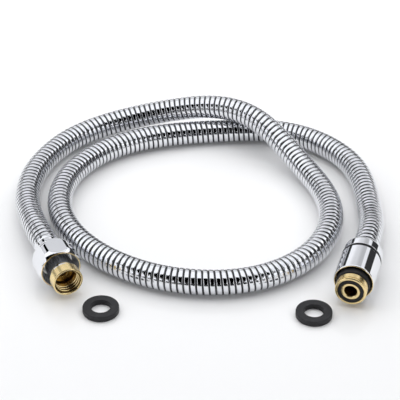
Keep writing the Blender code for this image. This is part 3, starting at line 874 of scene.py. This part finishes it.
def make_washers():
    section = [
        (5.2, 0.25), (5.5, 0.0), (9.3, 0.0), (9.6, 0.3), (9.6, 3.0), (9.35, 3.3), (5.4, 3.3), (5.2, 3.1),
    ]
    for name, (x, y) in WASHER_PLACES.items():
        washer = turn_on_lathe(name + "_rubber", section, edge=0.15)
        lay(washer, Matrix.Translation((x, y, 0.0)), RUBBER, "hose", "rubber", name)


make_nut_end()
collar = make_connector_end()
make_washers()

ride(casing, "hose", "casing", "hose_tube")

# Pieces hidden inside keep their CAD shape
for node, finish in {
    "nut_end_liner": RUBBER,
    "connector_end_liner": RUBBER,
    "thrust_washer": WHITE_PLASTIC,
    "swivel_spindle": CONNECTOR_BRASS,
    "spindle_o_ring": RUBBER,
}.items():
    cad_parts[node].data.materials.clear()
    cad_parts[node].data.materials.append(finish)


# Stage: a glossy white table in a dark tent under a glowing ceiling

TABLE_SIZE = 14.0
TABLE_SHADE = 0.91
TABLE_GLOSS = 0.07
TABLE_GLOSS_ROUGHNESS = 0.05
TABLE_WHITE_SEEN = 0.04
TABLE_WHITE_MIRRORED = 0.03
TENT_SIDES = 64
TENT_HEIGHT = 1.0
TENT_RADIUS = 3.75
TENT_CENTRE_X = -1.4
TENT_SKIRT_GAP = 0.15
CLOTH_SHADE = 0.015
CLOTH_ROUGHNESS = 0.9
DARK_CLOTH = 0.04
LAMP_SIZE = (3.0, 1.7)
LAMP_PLACE = (-0.3, 0.45)
LAMP_GAP = 0.01
LAMP_LEVEL = 0.80
PANEL_BOTTOM = 0.15
PANEL_HEIGHT = 0.83
FRONT_PANELS = {
    "left_panel": ((-1.93, -0.52), (-1.40, -1.43)),
    "right_panel": ((1.23, -1.58), (1.89, -0.75)),
}


def plain_finish(name, shade, roughness):
    finish = Finish(name, specular=0.0)
    finish.shader.inputs["Base Color"].default_value = colour(shade, shade, shade)
    finish.shader.inputs["Roughness"].default_value = roughness
    return finish


def tent_cloth(name):
    return plain_finish(name, CLOTH_SHADE, CLOTH_ROUGHNESS)


def hide_from_camera(thing, finish):
    """Finish a piece of the tent, which lights the hose and shows in its metal but not behind it."""
    select_only(thing)
    bpy.ops.object.transform_apply(location=True, rotation=True, scale=True)
    thing.data.materials.append(finish.material)
    thing.visible_camera = False


def glow_with(finish, strength):
    """Let a finish give light of its own, faintly blue, in place of what it shows so far."""
    inputs = {"Color": colour(0.965, 0.975, 1.0), "Strength": strength}
    show_instead(finish, 1.0, finish.node("ShaderNodeEmission", None, inputs))


def show_instead(finish, share, shader):
    """Show another shader in place of what the finish shows so far, by the share."""
    surface = finish.tree.nodes["Material Output"].inputs["Surface"]
    so_far = Reading(finish, surface.links[0].from_socket)
    mixed = finish.node("ShaderNodeMixShader", None, {0: share, 1: so_far, 2: shader})
    finish.tree.links.new(mixed.socket, surface)


def make_table():
    """A white table with a thin gloss, a little brighter to the camera and in the metal."""
    bpy.ops.mesh.primitive_plane_add(size=TABLE_SIZE, location=(0, 0, 0))
    table = bpy.context.object
    table.name = "table"
    finish = plain_finish("white_table", TABLE_SHADE, 0.5)
    white = colour(1.0, 1.0, 1.0)
    inputs = {"Color": white, "Roughness": TABLE_GLOSS_ROUGHNESS}
    show_instead(finish, TABLE_GLOSS, finish.node("ShaderNodeBsdfGlossy", None, inputs))
    seen = finish.node("ShaderNodeLightPath", None, (), output="Is Camera Ray")
    mirrored = finish.node("ShaderNodeLightPath", None, (), output="Is Glossy Ray")
    lift = finish.node("ShaderNodeEmission", None, {"Color": white, "Strength": 1.0})
    show_instead(finish, seen * TABLE_WHITE_SEEN + mirrored * TABLE_WHITE_MIRRORED, lift)
    table.data.materials.append(finish.material)


def make_tent():
    """A dark skirt, a glowing ceiling with dark patches, and a bright panel at each front corner."""
    skirt_height = TENT_HEIGHT - TENT_SKIRT_GAP
    bpy.ops.mesh.primitive_cylinder_add(
        vertices=TENT_SIDES, radius=TENT_RADIUS, depth=skirt_height, end_fill_type="NOTHING",
        location=(TENT_CENTRE_X, 0, TENT_SKIRT_GAP + skirt_height / 2),
    )
    skirt = bpy.context.object
    skirt.name = "tent_skirt"
    cloth = tent_cloth("dark_cloth")
    glow_with(cloth, DARK_CLOTH)
    hide_from_camera(skirt, cloth)

    bpy.ops.mesh.primitive_circle_add(
        vertices=TENT_SIDES, radius=TENT_RADIUS, fill_type="NGON",
        location=(TENT_CENTRE_X, 0, TENT_HEIGHT),
    )
    ceiling = bpy.context.object
    ceiling.name = "tent_ceiling"
    finish = tent_cloth("glowing_ceiling")
    place = finish.object_place()
    x, y = (finish.node("ShaderNodeSeparateXYZ", None, (place,), output=i) for i in range(2))
    front_dark = finish.rise(y, -0.34, -0.42) * finish.band(x, -1.30, -1.20, 0.95, 1.05)
    right_dark = finish.rise(x, 1.34, 1.46) * finish.rise(y, -0.60, -0.30)
    rear_dark = finish.rise(y, 2.40, 2.70) * finish.rise(x, -0.30, 0.30)
    left_dark = finish.band(x, -1.42, -1.35, -0.92, -0.85) * finish.band(y, 0.75, 0.82, 1.50, 1.60)
    overhead = finish.rise(y, 1.15, 0.70)
    rear = finish.rise(y, 1.30, 2.10)
    dip = finish.rise(x, 0.18, 0.58)
    bar = finish.rise(x, 0.80, 0.90)
    glow = 0.76 + overhead * 0.44 + rear * 0.30 - dip * 0.22 + bar * 0.40
    open_cloth = (1 - front_dark) * (1 - right_dark) * (1 - rear_dark) * (1 - left_dark)
    glow_with(finish, open_cloth * glow + right_dark * DARK_CLOTH)
    hide_from_camera(ceiling, finish)

    for name, (start, end) in FRONT_PANELS.items():
        start, end = Vector((*start, 0)), Vector((*end, 0))
        along = end - start
        middle = (start + end) / 2 + Vector((0, 0, PANEL_BOTTOM + PANEL_HEIGHT / 2))
        turn = math.atan2(along.y, along.x)
        bpy.ops.mesh.primitive_plane_add(size=1.0, location=middle, rotation=(math.pi / 2, 0, turn))
        panel = bpy.context.object
        panel.name = name
        panel.scale = (along.length, PANEL_HEIGHT, 1)
        white = tent_cloth(name + "_cloth")
        glow_with(white, 1.0)
        hide_from_camera(panel, white)


def light_tent():
    """A soft lamp under the ceiling, which brings a pale surface to its own colour."""
    lamp = bpy.data.lights.new("soft_lamp", "AREA")
    lamp.shape = "RECTANGLE"
    lamp.size, lamp.size_y = LAMP_SIZE
    lamp.energy = LAMP_LEVEL * math.pi * lamp.size * lamp.size_y
    holder = bpy.data.objects.new("soft_lamp", lamp)
    bpy.context.scene.collection.objects.link(holder)
    holder.location = (*LAMP_PLACE, TENT_HEIGHT - LAMP_GAP)
    holder.visible_camera = False
    holder.visible_glossy = False

    world = bpy.data.worlds.new("white_room")
    bpy.context.scene.world = world
    world.use_nodes = True
    world.node_tree.nodes["Background"].inputs["Color"].default_value = colour(1.0, 1.0, 1.0)
    world.node_tree.nodes["Background"].inputs["Strength"].default_value = 1.0


make_table()
make_tent()
light_tent()
bpy.context.scene.view_settings.view_transform = "Standard"
